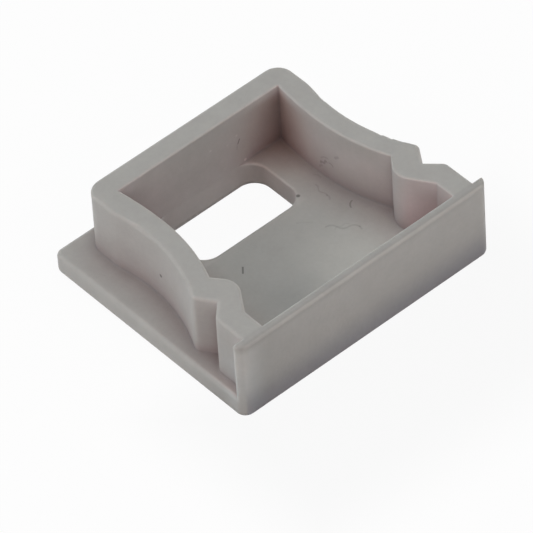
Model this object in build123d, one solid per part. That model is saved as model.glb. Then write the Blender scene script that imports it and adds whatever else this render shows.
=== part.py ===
"""One-piece moulded end cap for a lighting profile: flat plate, raised plug wall, cable window."""
import os
from math import sqrt

from build123d import *

# ---- plate ----
plate_width = 17.0          # across the profile, x
plate_depth = 14.89         # front to back, y
plate_thickness = 1.29      # of the rim and of the pocket's floor
front_corner_radius = 0.62  # upright front corners, shared with the front wall
back_corner_radius = 0.5    # upright back corners
rim_rounding = 0.22         # soft top edge of the rim
underside_rounding = 0.29   # soft edge around the underside

# ---- front wall ----
total_height = 5.16         # plate underside to wall top
front_wall_thickness = 0.5
edge_rounding = 0.15        # soft outer edges along the wall tops

# ---- plug wall, outside (y is measured from the front face) ----
side_rim = 0.64             # plate left showing beside the cheeks
back_rim = 0.74             # plate left showing behind the plug
cheek_end_y = 2.54          # where the notch starts
notch_depth = 0.84          # from the cheek in to the bottom of the notch
notch_y = 3.38
lip_setback = 0.1           # the lip behind the notch, in from the cheek
lip_y = 4.49
side_setback = 1.14         # the straight rear of the side, in from the cheek
side_hollow = 0.26          # how much further in the side is at its waist
waist_to_back = 4.67
side_blend = 3.0            # rounding where the hollow meets the straight rear
plug_corner_radius = 0.97
notch_mouth_rounding = 0.41
lip_rounding = 0.38
plug_draft = 0.5            # degrees, outside faces of the plug

# ---- plug wall, inside ----
side_wall = 1.22
back_wall = 1.29
cheek_wall = 1.34
cheek_corner_step = 0.72    # the inside cheek ends this much before the outside one
notch_wall = 1.75           # from the bottom of the notch in to the bulge's unrounded corner
bulge_step = 0.35           # that corner lies this much behind the bottom of the notch
bulge_rounding = 1.1
lip_step = 0.41             # the inside lip lies this much behind the outside one

# ---- cable window ----
window_width = 7.04
window_depth = 4.16         # forward from the inside back face
window_offset = 0.11        # its middle lies this far to the -x side
window_corner_radius = 1.09
window_back_lean = 0.22     # its back face comes this far forward through the plate

# ---- worked out from the values above ----
wall_height = total_height - plate_thickness
cheek_half_width = plate_width / 2 - side_rim
plug_half_width = cheek_half_width - side_setback
waist_half_width = plug_half_width - side_hollow
notch_half_width = cheek_half_width - notch_depth
lip_half_width = cheek_half_width - lip_setback
plug_back_y = plate_depth - back_rim
waist_y = plug_back_y - waist_to_back
lip_to_waist = waist_y - lip_y
lip_spread = lip_half_width - waist_half_width
side_radius = (lip_to_waist**2 + lip_spread**2) / (2 * lip_spread)
inner_back_y = plug_back_y - back_wall


def arc_x(waist_x, radius, y):
    """Half width, at a given y, of an arc that is narrowest at the waist."""
    return waist_x + radius - sqrt(radius**2 - (y - waist_y)**2)


def corner_near(sketch, x, y):
    """The sketch corner closest to a point."""
    return sketch.vertices().sort_by_distance((x, y, 0))[0]


def mirrored(half):
    """A half outline joined to its mirror image."""
    return half + mirror(half, about=Plane.YZ)


def plug_outline():
    """Outside of the plug wall, seen from above: notch, hollow side, straight rear."""
    start_y = front_wall_thickness / 2
    meeting_y = waist_y + sqrt(side_radius**2 - (side_radius - side_hollow)**2)
    cheek = Polyline(
        (0, start_y),
        (cheek_half_width, start_y),
        (cheek_half_width, cheek_end_y),
        (notch_half_width, notch_y),
        (lip_half_width, lip_y),
    )
    hollow = ThreePointArc(
        (lip_half_width, lip_y),
        (waist_half_width, waist_y),
        (plug_half_width, meeting_y),
    )
    rear = Polyline(
        (plug_half_width, meeting_y),
        (plug_half_width, plug_back_y),
        (0, plug_back_y),
        (0, start_y),
    )
    half = make_face(cheek + hollow + rear)
    half = fillet(corner_near(half, cheek_half_width, cheek_end_y), notch_mouth_rounding)
    half = fillet(corner_near(half, lip_half_width, lip_y), lip_rounding)
    half = fillet(corner_near(half, plug_half_width, meeting_y), side_blend)
    half = fillet(corner_near(half, plug_half_width, plug_back_y), plug_corner_radius)
    return mirrored(half)


def pocket_outline():
    """Inside of the plug wall, seen from above: bulge, hollow side, straight back."""
    inner_cheek = cheek_half_width - cheek_wall
    bulge = (notch_half_width - notch_wall, notch_y + bulge_step)
    waist = (waist_half_width - side_wall, waist_y)
    lip_behind_y = lip_y + lip_step
    front_radius = side_radius + side_wall
    lip = (arc_x(waist[0], front_radius, lip_behind_y), lip_behind_y)
    back_corner = (plug_half_width - side_wall, inner_back_y)
    cheek = Polyline(
        (0, front_wall_thickness),
        (inner_cheek, front_wall_thickness),
        (inner_cheek, cheek_end_y - cheek_corner_step),
        bulge,
        lip,
    )
    ahead = TangentArc(waist, lip, tangent=(0, -1))
    behind = TangentArc(waist, back_corner, tangent=(0, 1))
    back = Polyline(back_corner, (0, inner_back_y), (0, front_wall_thickness))
    half = make_face(cheek + ahead + behind + back)
    half = fillet(corner_near(half, *bulge), bulge_rounding)
    return mirrored(half)


def footprint():
    """Plate outline with rounded upright corners."""
    outline = Pos(0, plate_depth / 2) * Rectangle(plate_width, plate_depth)
    corners = outline.vertices().group_by(Axis.Y)
    outline = fillet(corners[0], front_corner_radius)
    corners = outline.vertices().group_by(Axis.Y)
    return fillet(corners[-1], back_corner_radius)


def top_edges(solid):
    """Every edge around a solid's top face."""
    return solid.faces().sort_by(Axis.Z)[-1].edges()


def plate():
    """Flat plate with a soft rim."""
    slab = extrude(footprint(), amount=plate_thickness)
    return fillet(top_edges(slab), rim_rounding)


def front_wall():
    """Thin wall flush with the plate's front edge and ends, soft along its outer top edges."""
    strip = Pos(0, front_wall_thickness / 2) * Rectangle(plate_width, front_wall_thickness)
    wall = extrude(footprint() & strip, amount=total_height)
    outer = [e for e in top_edges(wall) if e.center().Y < front_wall_thickness * 0.9]
    return fillet(outer, edge_rounding)


def plug_block():
    """Solid plug, before the pocket is cut, growing by its draft from the top down."""
    top = Pos(0, 0, total_height) * plug_outline()
    block = extrude(top, amount=wall_height, dir=(0, 0, -1), taper=-plug_draft)
    return fillet(top_edges(block), edge_rounding)


def pocket():
    """Hollow of the plug, down to its floor."""
    return extrude(Pos(0, 0, plate_thickness) * pocket_outline(), amount=total_height)


def window():
    """Cable window from the pocket floor down, its back face leaning forward below the floor."""
    front_y = inner_back_y - window_depth
    side = Polyline(
        (front_y, 0),
        (inner_back_y - window_back_lean, 0),
        (inner_back_y, plate_thickness),
        (front_y, plate_thickness),
        close=True,
    )
    block = extrude(Plane.YZ * make_face(side), amount=window_width / 2, both=True)
    uprights = block.edges().filter_by(lambda edge: abs(edge.tangent_at(0).Z) > 0.5)
    return Pos(-window_offset, 0) * fillet(uprights, window_corner_radius)


def soft_underside(solid):
    """Rounds the outer edge all round the underside."""
    underside = solid.faces().sort_by(Axis.Z)[0]
    return fillet(underside.outer_wire().edges(), underside_rounding)


def end_cap():
    """The whole part, its origin under the middle of the plate."""
    body = plate() + front_wall() + plug_block()
    body = soft_underside(body) - pocket() - window()
    return Pos(0, -plate_depth / 2) * body


if __name__ == "__main__":
    os.makedirs("parts", exist_ok=True)
    export_step(end_cap(), "parts/end_cap.step")
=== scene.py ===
from math import pi, radians

import bpy
from mathutils import Matrix, Vector


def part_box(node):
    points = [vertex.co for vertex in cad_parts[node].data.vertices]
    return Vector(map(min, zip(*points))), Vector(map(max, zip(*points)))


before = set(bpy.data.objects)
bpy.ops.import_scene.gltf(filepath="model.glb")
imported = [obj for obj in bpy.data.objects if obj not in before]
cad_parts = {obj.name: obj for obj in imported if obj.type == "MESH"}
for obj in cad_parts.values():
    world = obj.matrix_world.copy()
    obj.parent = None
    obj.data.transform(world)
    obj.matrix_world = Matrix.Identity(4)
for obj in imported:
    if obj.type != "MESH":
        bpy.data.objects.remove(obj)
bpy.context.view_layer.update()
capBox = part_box("end_cap")
mm = 0.001
print("cap loaded, box", capBox)


class Wire:  # a socket that takes part in Python expressions
    def __init__(self, tree, socket=None):
        self.tree = tree
        self.socket = socket

    def make(self, kind, settings, inputs, out=0):  # any node: its settings first, then its sockets
        node = self.tree.nodes.new("ShaderNode" + kind)
        for name, value in settings.items():
            setattr(node, name, value)
        for name, value in inputs.items():
            if isinstance(value, Wire):
                self.tree.links.new(value.socket, node.inputs[name])
            else:
                node.inputs[name].default_value = value
        return Wire(self.tree, node.outputs[out])

    def maths(self, operation, *values):
        return self.make("Math", {"operation": operation}, dict(enumerate(values)))

    def __add__(self, other):
        return self.maths("ADD", self, other)

    def __sub__(self, other):
        return self.maths("SUBTRACT", self, other)

    def __rsub__(self, other):
        return self.maths("SUBTRACT", other, self)

    def __mul__(self, other):
        return self.maths("MULTIPLY", self, other)

    def __pow__(self, other):
        return self.maths("POWER", self, other)

    def __abs__(self):
        return self.maths("ABSOLUTE", self)

    __radd__ = __add__
    __rmul__ = __mul__

    def most(self, other):
        return self.maths("MAXIMUM", self, other)

    def sine(self):
        return self.maths("SINE", self)

    def dot(self, direction):
        return self.make("VectorMath", {"operation": "DOT_PRODUCT"}, {0: self, 1: direction}, 1)

    def distance(self, point):
        return self.make("VectorMath", {"operation": "DISTANCE"}, {0: self, 1: point}, 1)

    def ramp(self, low, high):  # smooth step from 0 at low to 1 at high
        return self.make("MapRange", {"interpolation_type": "SMOOTHSTEP"},
                         {"Value": self, "From Min": low, "From Max": high})

    def noise(self, scale):  # 0 to 1 over a place, scale in waves per millimetre
        return self.make("TexNoise", {}, {"Vector": self, "Scale": scale, "Detail": 2.0})

    def mixColour(self, share, first, second):
        settings = {"data_type": "RGBA"}
        return self.make("Mix", settings, {0: share, 6: first, 7: second}, 2)


def newMaterial(name):
    material = bpy.data.materials.new(name)
    material.use_nodes = True
    material.node_tree.nodes.clear()
    return material, Wire(material.node_tree)


def millimetres(wire):  # the surface point in millimetres, as a vector and as three numbers
    place = wire.make("TexCoord", {}, {}, "Object")
    place = wire.make("VectorMath", {"operation": "SCALE"}, {"Vector": place, "Scale": 1 / mm})
    parts = [wire.make("SeparateXYZ", {}, {"Vector": place}, axis) for axis in "XYZ"]
    return place, parts


plastic = {
    "colour": (0.350, 0.347, 0.329),          # before the powers below, the patches and the marks
    "roughness": 0.55,
    "specular": 0.4,
    "glowThrough": 1.0,       # share of the light that spreads under the surface
    "spread": 0.4 * mm,
    "spreadByColour": (1.0, 0.9, 0.85),
    "cornerShadeReach": 2.5 * mm,  # painted shade darkens corners within this reach
    "cornerShadePower": (0.70, 0.73, 0.75),
    "cornerShadeFade": (5.2, 3.8),  # but less towards the wall tops, in millimetres
    "narrowShadeReach": 0.7 * mm,    # and a narrow line of painted shade lies in every corner
    "narrowShadePower": 0.28,
    "hollowLightReach": 6.0 * mm,  # painted light brightens hollows within this reach, their walls warmly
    "hollowLightPower": (-0.53, -0.38, -0.43),
    "levelFrom": (0.7, 0.95),  # upward part of the normal of a level face
    "levelCornerShade": (0.55, 0.74, 0.73),        # the two powers there
    "levelHollowLight": (-0.42, -0.42, -0.42),
    "cornerSamples": 16,
    "softEdge": 0.3 * mm,     # edges are shaded as if rounded this much
    "edgeSamples": 8,
    "mottle": 0.12,
    "mottleScale": 0.9,       # waves per millimetre
    "grain": 0.09,
    "grainScale": 4.0,
    "bump": 0.008 * mm,
}

stroke = {  # shared by all strokes and dots
    "core": 0.3,              # share of a stroke's half width at full strength
    "dotCore": 0.4,           # and of a dot's radius
    "swayAngle": 3 * pi,      # one and a half waves along a stroke
    "offFace": (0.5, 0.4),    # millimetres off its face where a stroke is gone and where it is full
}
faceOut = {"floor": (0, 0, 1), "back": (0, -1, 0), "right": (-1, 0, 0)}
strokes = [  # face, start, end, half width, bend, sway (lengths in millimetres), strength
    ("floor", (5.03, -0.61, 1.29), (4.66, -0.95, 1.29), 0.07, -0.07, 0.0, 0.35),
    ("floor", (2.77, -1.08, 1.29), (4.07, -2.30, 1.29), 0.09, 0.0, 0.12, 0.15),
    ("floor", (3.00, -1.55, 1.29), (3.80, -1.75, 1.29), 0.08, 0.10, 0.05, 0.08),
    ("floor", (4.07, -2.25, 1.29), (4.02, -2.50, 1.29), 0.08, 0.0, 0.0, 0.16),
    ("floor", (4.46, 1.59, 1.29), (4.37, 0.55, 1.29), 0.07, -0.08, 0.06, 0.15),
    ("floor", (4.37, 0.62, 1.29), (4.27, 0.25, 1.29), 0.08, 0.05, 0.0, 0.15),
    ("floor", (4.88, 2.20, 1.29), (4.99, 1.78, 1.29), 0.08, 0.08, 0.0, 0.10),
    ("floor", (1.89, 0.19, 1.29), (2.53, -0.34, 1.29), 0.09, 0.0, 0.0, 0.06),
    ("floor", (-2.19, -0.23, 1.29), (-2.49, -0.58, 1.29), 0.07, 0.0, 0.0, 0.55),
    ("right", (5.30, 2.00, 2.08), (5.30, 1.51, 2.45), 0.12, 0.0, 0.05, 0.28),
    ("right", (5.30, 2.10, 1.69), (5.30, 1.85, 1.95), 0.10, 0.05, 0.0, 0.17),
    ("right", (5.30, 1.95, 2.45), (5.30, 1.40, 2.75), 0.08, 0.08, 0.0, 0.16),
    ("right", (5.35, 1.36, 2.48), (5.35, 1.06, 2.37), 0.08, 0.06, 0.0, 0.22),
    ("right", (5.35, 0.90, 3.12), (5.35, 0.65, 3.34), 0.12, 0.0, 0.0, 0.20),
    ("back", (2.70, 5.42, 3.16), (2.56, 5.42, 2.86), 0.06, 0.0, 0.0, 0.50),
    ("back", (2.51, 5.42, 2.79), (2.48, 5.42, 2.52), 0.07, 0.0, 0.0, 0.15),
]
dots = [  # centre and radius in millimetres, strength (below 0 where a dot is light)
    ((3.26, 1.60, 1.29), 0.15, 0.60),
    ((-6.52, 1.03, 2.87), 0.14, 0.65),
    ((2.52, 5.42, 3.52), 0.10, -0.20),
    ((0.73, 5.42, 3.63), 0.10, -0.18),
    ((1.86, 5.42, 3.26), 0.10, -0.12),
    # the light dot below is a painted highlight on the edge at the window's corner
    ((2.98, 5.42, 1.44), 0.12, -0.45),
]


def occlusion(wire, reach):
    settings = {"samples": plastic["cornerSamples"], "only_local": True}
    return wire.make("AmbientOcclusion", settings, {"Distance": reach}, 1)


def strokeMask(wire, place, face, start, end, halfWidth, bend, sway):
    start, end, outward = Vector(start), Vector(end), Vector(faceOut[face])
    along = end - start
    across = outward.cross(along).normalized()
    offset = wire.make("VectorMath", {"operation": "SUBTRACT"}, {0: place, 1: start})
    share = offset.dot(along / along.length_squared)
    bow = share * (1 - share) * (4 * bend)
    line = bow + (share * stroke["swayAngle"]).sine() * sway
    beside = abs(offset.dot(across) - line).ramp(halfWidth, stroke["core"] * halfWidth)
    halfLength = 0.5
    tip = halfLength * halfWidth / along.length
    within = abs(share - halfLength).ramp(halfLength + tip, halfLength)
    return beside * within * abs(offset.dot(outward)).ramp(*stroke["offFace"])


def markShade(wire, place):  # 1 on clean plastic
    shade = 1.0
    for *shape, strength in strokes:
        shade = (1 - strokeMask(wire, place, *shape) * strength) * shade
    for centre, radius, strength in dots:
        spot = place.distance(centre).ramp(radius, stroke["dotCore"] * radius)
        shade = shade * (1 - spot * strength)
    return shade


levelLightPatches = [  # painted light and shade on level faces: centre and radius in millimetres, how much lighter each colour gets
    ((2.8, -5.6, 1.29), 7.0, (0.32, 0.32, 0.30)),
    ((-8.2, -6.0, 1.29), 2.2, (0.25, 0.25, 0.25)),
    ((-1.8, -3.6, 1.29), 3.0, (-0.12, -0.12, -0.11)),
]
# painted light and shade on the walls, given as above
wallLightPatches = [
    ((-7.88, -6.4, 2.2), 2.2, (0.04, 0.08, 0.10)),
    ((5.3, -0.5, 3.2), 2.0, (0.06, 0.05, 0.05)),
    ((-6.6, 2.5, 3.0), 3.5, (-0.06, -0.07, -0.07)),
]
belowTop = {  # heights in millimetres where each kind is gone and where it is full
    "upright": (5.1, 4.4),
    "level": (1.6, 1.4),
    "wall": (5.1, 4.8),
}
windowLight = {  # painted light on its walls, the foot of the wall above it and the rim behind
    "middle": -0.11,
    "sides": (3.7, 3.3),      # out from the middle
    "front": (1.0, 1.2),
    "fade": (2.8, 1.4),
    "lighter": 0.08,
}
face = {  # the front face, with painted light towards the right and a cool painted shadow along its foot
    "front": (-7.3, -7.4),
    "foot": (2.5, 0.2),
    "footLighter": (-0.30, -0.30, -0.23),
    "across": (-14.0, 0.0),
    "lighter": 0.26,
}
lipShade = {  # painted shade on the front wall's top, a little darker than the plug's, and on its outer edge
    "height": (4.9, 5.1),
    "behind": (-6.8, -7.0),
    "lighter": -0.09,
    "edge": (-7.1, -7.3),
    "edgeHeight": (4.5, 5.15),
    "edgeLighter": -0.10,
}
postLight = {  # painted highlight on the upright front left corner, a little lighter
    "middle": (-8.3, -7.3),
    "fade": (1.6, 0.3),
    "lighter": (0.17, 0.19, 0.20),
}
corner = {  # brown shadow in the pocket's back right corner
    "middle": (5.45, 5.42),
    "fade": (4.0, 0.0),
    "lighter": (-0.24, -0.32, -0.36),
}


def plainShade(axes):  # painted light and shade, one factor for all three colours
    x, y, z = axes
    inWindow = abs(x - windowLight["middle"]).ramp(*windowLight["sides"]) * y.ramp(*windowLight["front"])
    inWindow = inWindow * z.ramp(*windowLight["fade"])
    onFace = y.ramp(*face["front"]) * x.ramp(*face["across"])
    onLip = y.ramp(*lipShade["behind"]) * z.ramp(*lipShade["height"])
    onEdge = y.ramp(*lipShade["edge"]) * z.ramp(*lipShade["edgeHeight"])
    shade = onFace * face["lighter"] + 1
    shade = shade * (inWindow * windowLight["lighter"] + 1)
    return shade * (onLip * lipShade["lighter"] + 1) * (onEdge * lipShade["edgeLighter"] + 1)


def paintedLightSpots(wire, place, axes, level):  # painted light and shade masks, each with what it does to the three colours
    x, y, z = axes
    aside = wire.make("CombineXYZ", {}, {0: x, 1: y, 2: 0.0})
    lightSpots = [(y.ramp(*face["front"]) * z.ramp(*face["foot"]), face["footLighter"])]
    for upright in (postLight, corner):
        near = aside.distance((*upright["middle"], 0.0)).ramp(*upright["fade"])
        lightSpots.append((near * z.ramp(*belowTop["upright"]), upright["lighter"]))
    low = level * z.ramp(*belowTop["level"])
    walls = (1 - level) * z.ramp(*belowTop["wall"])
    for where, group in ((low, levelLightPatches), (walls, wallLightPatches)):
        for centre, radius, lighter in group:
            lightSpots.append((place.distance(centre).ramp(radius, 0.0) * where, lighter))
    return lightSpots


def powerBetween(name, levelName, channel, level):
    wall, flat = plastic[name][channel], plastic[levelName][channel]
    return level * (flat - wall) + wall


def capColour(wire, place, axes, grain):
    normal = wire.make("TexCoord", {}, {}, "Normal")
    level = wire.make("SeparateXYZ", {}, {0: normal}, 2).ramp(*plastic["levelFrom"])
    fade = axes[2].ramp(*plastic["cornerShadeFade"])
    # painted shade in corners, from occlusion
    cornerShade = occlusion(wire, plastic["cornerShadeReach"])
    # painted light in hollows, from occlusion
    hollowLight = occlusion(wire, plastic["hollowLightReach"])
    # a narrow line of painted shade in every corner
    narrowShade = occlusion(wire, plastic["narrowShadeReach"]) ** (fade * plastic["narrowShadePower"])
    mottle = place.noise(plastic["mottleScale"]) - 0.5
    light = mottle * plastic["mottle"] + grain * plastic["grain"] + 1
    light = light * markShade(wire, place) * plainShade(axes) * narrowShade
    lightSpots = paintedLightSpots(wire, place, axes, level)
    colours = []
    for channel in range(3):
        shade = cornerShade ** (powerBetween("cornerShadePower", "levelCornerShade", channel, level) * fade)
        shade = shade * hollowLight ** powerBetween("hollowLightPower", "levelHollowLight", channel, level)
        for spot, lighter in lightSpots:
            shade = shade * (spot * lighter[channel] + 1)
        colours.append(light * shade * plastic["colour"][channel])
    return wire.make("CombineColor", {}, dict(enumerate(colours)))


def capPlastic():
    material, wire = newMaterial("capPlastic")
    place, axes = millimetres(wire)
    grain = place.noise(plastic["grainScale"]) - 0.5
    edges = {"samples": plastic["edgeSamples"]}
    soft = wire.make("Bevel", edges, {"Radius": plastic["softEdge"]})
    bump = wire.make("Bump", {}, {"Height": grain, "Distance": plastic["bump"], "Normal": soft})
    shader = wire.make("BsdfPrincipled", {}, {
        "Base Color": capColour(wire, place, axes, grain),
        "Roughness": plastic["roughness"],
        "Specular IOR Level": plastic["specular"],
        "Subsurface Weight": plastic["glowThrough"],
        "Subsurface Scale": plastic["spread"],
        "Subsurface Radius": plastic["spreadByColour"],
        "Normal": bump,
    })
    output = wire.tree.nodes.new("ShaderNodeOutputMaterial")
    wire.tree.links.new(shader.socket, output.inputs["Surface"])
    return material


cap = bpy.data.objects["end_cap"]
cap.data.materials.clear()
cap.data.materials.append(capPlastic())
print("cap finished in matte grey plastic")


studio = {
    "floorColour": (0.7, 0.7, 0.7, 1.0),      # as the cap's light meets it
    "shadeColour": (0.08, 0.08, 0.08, 1.0),   # painted shade of the floor just ahead of the cap
    "shadeWidth": (0.0, 6.0),                 # millimetres it fades over
    "shadeDepth": 3.0,                        # half its depth ahead of the cap
    "floorSize": 0.6,
    "floorDrop": 0.02 * mm,   # keeps the floor clear of the plate's underside
    "shadowShare": 0.06,      # of the matte floor in what the camera sees, the rest is white
    "world": 0.87,
    "lamps": {                # heading and height in degrees, strength, tint
        "front": (0, 30, 0.50, (1.25, 0.85, 0.89)),
        "left": (-90, 30, 1.12, (1.32, 0.90, 0.83)),
        "leftBehind": (-135, 35, 0.46, (0.22, 1.17, 1.60)),
    },
    "lampDistance": 0.4,
    "lampSize": 0.3,
}


def floorSheet():
    half = studio["floorSize"] / 2
    drop = capBox[0][2] - studio["floorDrop"]
    corners = [(-half, -half, drop), (half, -half, drop), (half, half, drop), (-half, half, drop)]
    mesh = bpy.data.meshes.new("floor")
    mesh.from_pydata(corners, [], [(0, 1, 2, 3)])
    sheet = bpy.data.objects.new("floor", mesh)
    bpy.context.collection.objects.link(sheet)
    material, wire = newMaterial("floorWhite")
    seen = wire.make("LightPath", {}, {}, "Is Camera Ray")
    glossy = wire.make("LightPath", {}, {}, "Is Glossy Ray")
    through = wire.make("LightPath", {}, {}, "Is Transmission Ray")
    white = seen.most(glossy).most(through) * (1 - studio["shadowShare"])
    x, y, _ = millimetres(wire)[1]
    ahead = abs(y + (capBox[1][1] / mm + studio["shadeDepth"])) - studio["shadeDepth"]
    beside = (abs(x) - capBox[1][0] / mm).most(ahead)
    clear = beside.ramp(*studio["shadeWidth"])
    colour = wire.mixColour(clear, studio["shadeColour"], studio["floorColour"])
    matte = wire.make("BsdfDiffuse", {}, {"Color": colour})
    glow = wire.make("Emission", {}, {"Color": (1, 1, 1, 1), "Strength": 1.0})
    both = wire.make("MixShader", {}, {0: white, 1: matte, 2: glow})
    output = wire.tree.nodes.new("ShaderNodeOutputMaterial")
    wire.tree.links.new(both.socket, output.inputs["Surface"])
    mesh.materials.append(material)


def studioLamp(name, heading, height, strength, tint):
    lamp = bpy.data.lights.new(name, "AREA")
    lamp.shape = "DISK"
    lamp.size = studio["lampSize"]
    area = pi * (studio["lampSize"] / 2) ** 2
    lamp.energy = strength * area * pi
    lamp.color = tint
    body = bpy.data.objects.new(name, lamp)
    turn = Matrix.Rotation(radians(heading), 4, "Z") @ Matrix.Rotation(radians(90 - height), 4, "X")
    body.matrix_world = turn @ Matrix.Translation((0, 0, studio["lampDistance"]))
    bpy.context.collection.objects.link(body)


def studioWorld():
    world = bpy.data.worlds.new("studio")
    world.use_nodes = True
    background = world.node_tree.nodes["Background"]
    background.inputs["Color"].default_value = (1, 1, 1, 1)
    background.inputs["Strength"].default_value = studio["world"]
    bpy.context.scene.world = world


floorSheet()
for name, values in studio["lamps"].items():
    studioLamp(name, *values)
studioWorld()
bpy.context.scene.view_settings.view_transform = "Standard"
print("floor, lamps and world in place")


camera = {
    "heading": 38.52,         # degrees from the front face towards the left side
    "height": 45.95,
    "roll": -4.26,
    "distance": 314.27 * mm,
    "lens": 413.46,
    "aim": (0, -1.07 * mm, 2.125 * mm),
    "slide": (-0.931 * mm, -1.225 * mm),
}


def placeCamera():
    lens = bpy.data.cameras.new("camera")
    lens.lens = camera["lens"]
    lens.sensor_width = 36.0
    lens.clip_start = 0.01
    lens.clip_end = 10.0
    body = bpy.data.objects.new("camera", lens)
    turn = Matrix.Rotation(radians(-camera["heading"]), 4, "Z")
    turn = turn @ Matrix.Rotation(radians(90 - camera["height"]), 4, "X")
    turn = turn @ Matrix.Rotation(radians(camera["roll"]), 4, "Z")
    offset = Vector((*camera["slide"], camera["distance"]))
    body.matrix_world = Matrix.Translation(camera["aim"]) @ turn @ Matrix.Translation(offset)
    bpy.context.collection.objects.link(body)
    bpy.context.scene.camera = body


placeCamera()
print("camera in place")
